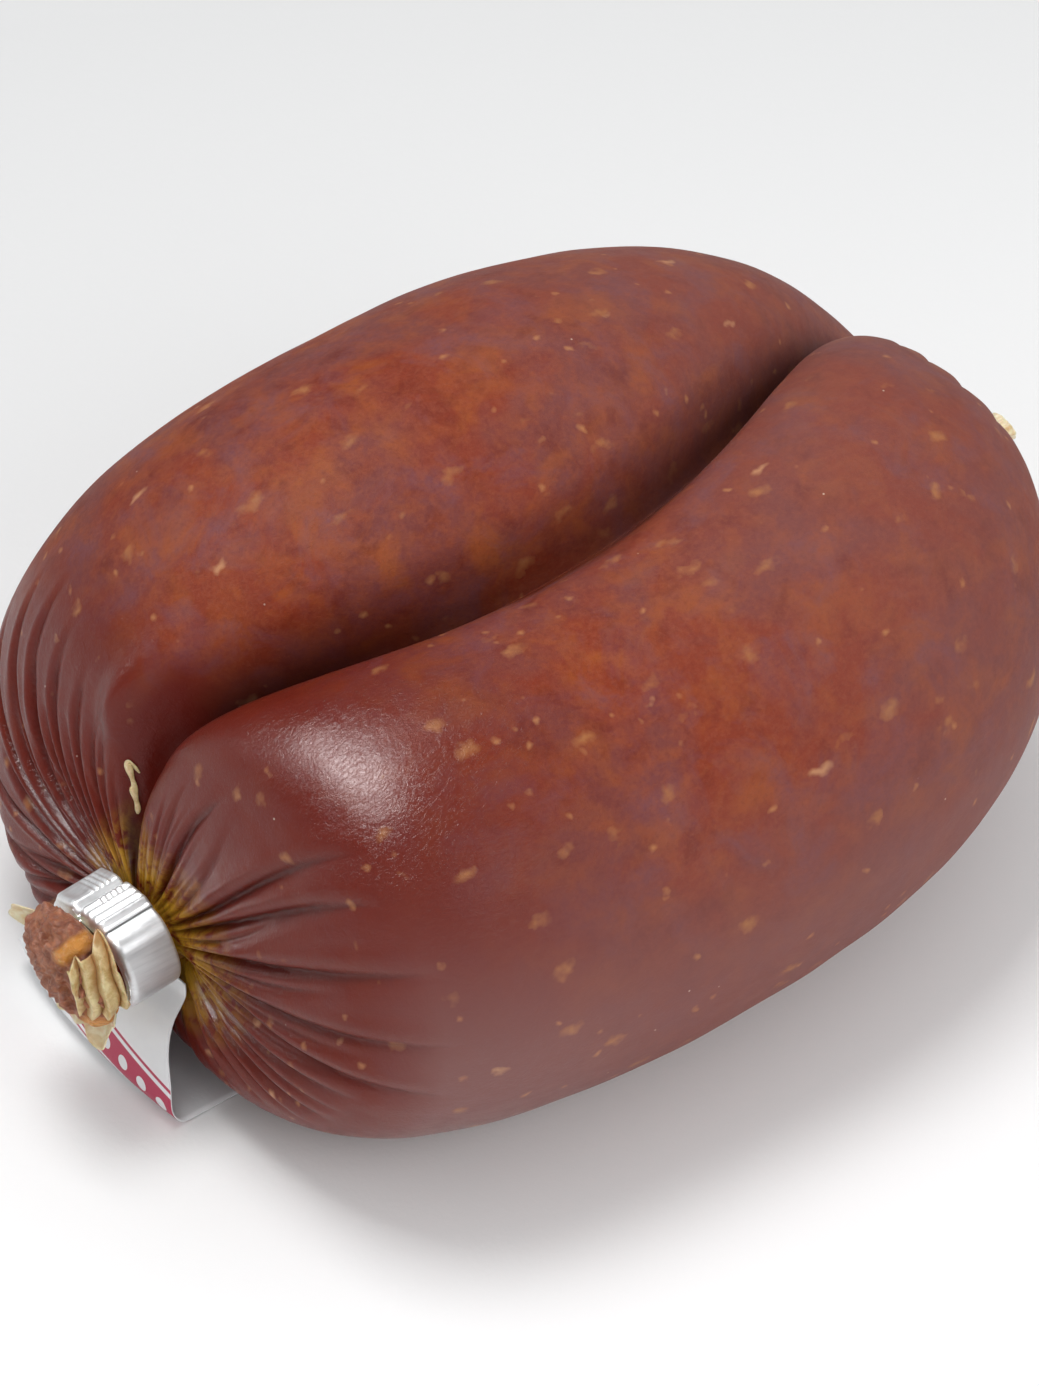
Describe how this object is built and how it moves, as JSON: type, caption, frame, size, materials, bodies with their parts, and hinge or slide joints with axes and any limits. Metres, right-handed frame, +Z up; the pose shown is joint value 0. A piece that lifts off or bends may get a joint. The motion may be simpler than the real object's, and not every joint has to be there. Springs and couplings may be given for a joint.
{
  "type": "cured sausage",
  "caption": "Smoked cured sausage of two lobes with a deep crease between them, its casing gathered into folds and closed by a bent metal band that holds a plain paper label.",
  "frame": {"origin": "centre of the whole object's footprint box on the surface it rests on", "axes": "+X along the sausage from the clip to the tied end, +Y towards the back lobe, +Z up"},
  "size_m": [0.1412, 0.0934, 0.0728],
  "materials": {
    "casing": "glossy smoked skin with paler fat grains showing through",
    "band": "brushed, pressed and creased on top",
    "paper": "smooth white paper with plain red stripes"
  },
  "bodies": {
    "root": {"sausage": "casing", "clip": "band", "label": "paper"}
  },
  "joints": []
}
